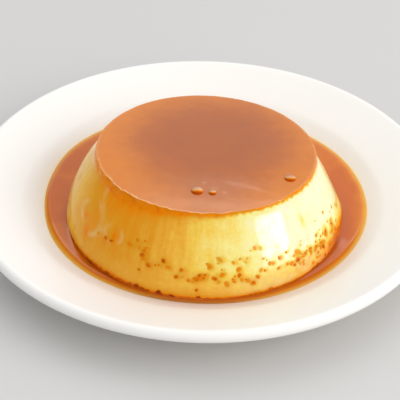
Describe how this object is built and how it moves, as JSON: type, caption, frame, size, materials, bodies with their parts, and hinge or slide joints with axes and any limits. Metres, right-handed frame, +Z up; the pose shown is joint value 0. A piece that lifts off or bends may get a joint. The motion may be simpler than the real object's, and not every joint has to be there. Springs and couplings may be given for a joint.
{
  "type": "creme caramel flan on a plate",
  "caption": "Unmoulded baked custard with a caramel top, standing in a thin pool of caramel on a round dessert plate with a sloping rim.",
  "frame": {"origin": "centre of the plate's foot ring, on the table", "axes": "+Z up along the plate's axis; the custard stands off centre towards -Y, the side that faces the viewer; +X to the right"},
  "size_m": [0.1618, 0.1618, 0.0359],
  "materials": {
    "porcelain": "glossy white glaze",
    "custard": "moist, smooth baked custard",
    "caramel": "wet, glossy caramel",
    "caramel_pool": "clear liquid caramel"
  },
  "bodies": {
    "root": {"plate": "porcelain", "custard": "custard", "caramel_film": "caramel", "caramel_pool": "caramel_pool"}
  },
  "joints": []
}
